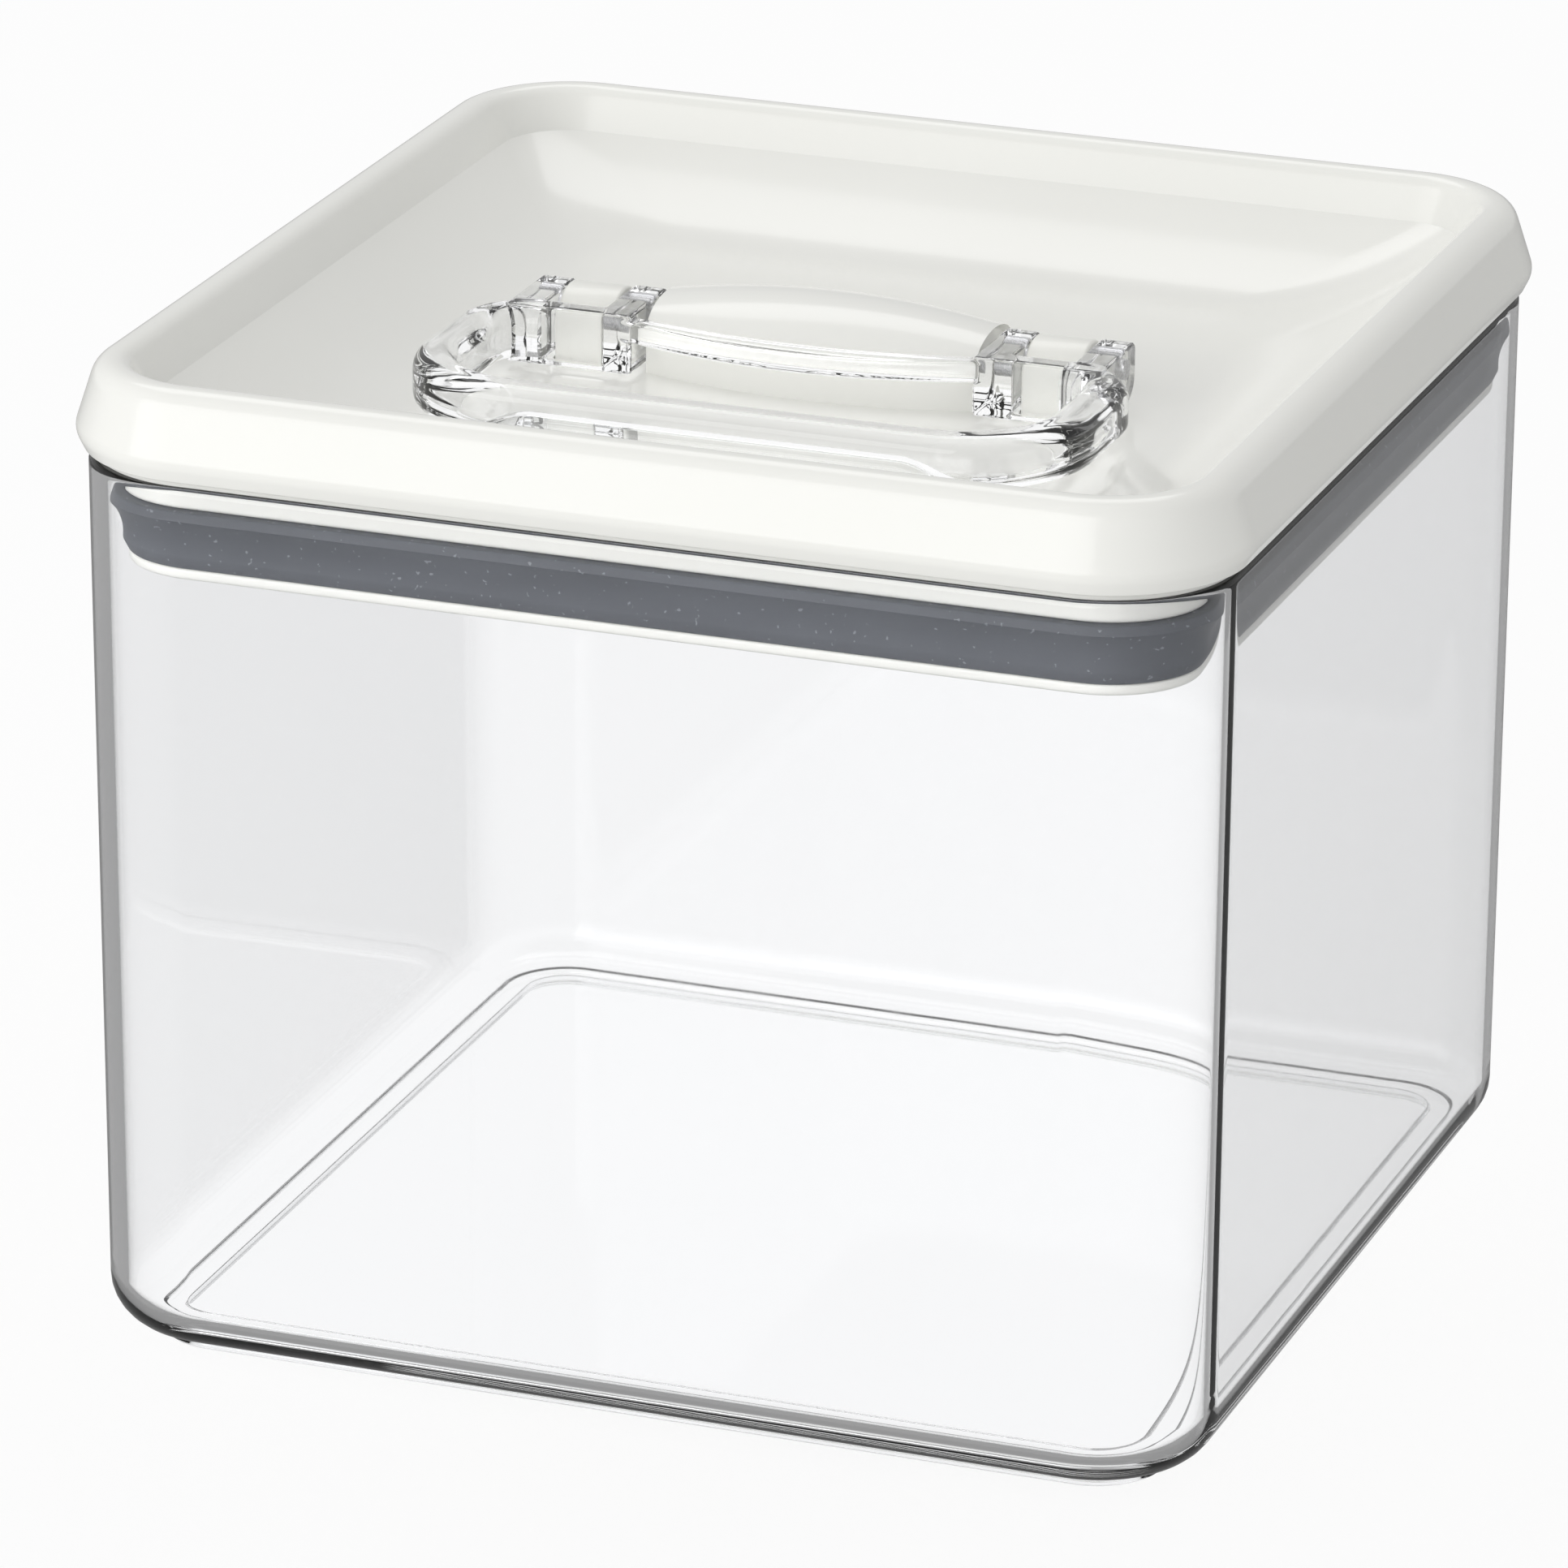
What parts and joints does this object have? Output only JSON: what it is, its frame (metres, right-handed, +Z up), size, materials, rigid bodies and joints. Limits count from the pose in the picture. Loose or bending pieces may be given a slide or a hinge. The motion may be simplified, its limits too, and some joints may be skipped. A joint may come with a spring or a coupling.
{
  "type": "food storage container",
  "caption": "Square clear canister with a white dished lid, grey seal and a clear flip handle whose cam ears squeeze the seal.",
  "frame": {"origin": "centre of the base, where the foot ring stands", "axes": "+Z up; the handle's grip bar faces -Y; +X along the hinge pins"},
  "size_m": [0.169, 0.169, 0.1441],
  "materials": {
    "clear_tub": "clear polished",
    "clear_handle": "clear polished",
    "white_lid": "gloss",
    "white_post": "satin",
    "grey_seal": "satin",
    "steel_pin": "brushed"
  },
  "bodies": {
    "tub": {"tub": "clear_tub"},
    "lid": {"lid_cover": "white_lid", "lid_base": "white_lid", "seal_ring": "grey_seal"},
    "plunger": {"inner_plate": "white_lid", "pull_post_left": "white_post", "pull_post_right": "white_post", "hinge_pin_left": "steel_pin", "hinge_pin_right": "steel_pin"},
    "handle": {"flip_handle": "clear_handle"}
  },
  "joints": [
    {"name": "lid_lift", "type": "slide", "parent": "tub", "child": "lid", "axis": [0, 0, 1], "range_m": [0, 0.15]},
    {"name": "plate_travel", "type": "slide", "parent": "lid", "child": "plunger", "axis": [0, 0, 1], "range_m": [-0.00205, 0], "deforming": ["seal_ring"]},
    {"name": "handle_flip", "type": "hinge", "parent": "plunger", "child": "handle", "pos_m": [0, 0.0026, 0.1346], "axis": [-1, 0, 0], "range_deg": [0, 90]}
  ],
  "couplings": [
    {"joint": "plate_travel", "follows": "handle_flip", "m_per_rad": -0.0012732}
  ]
}
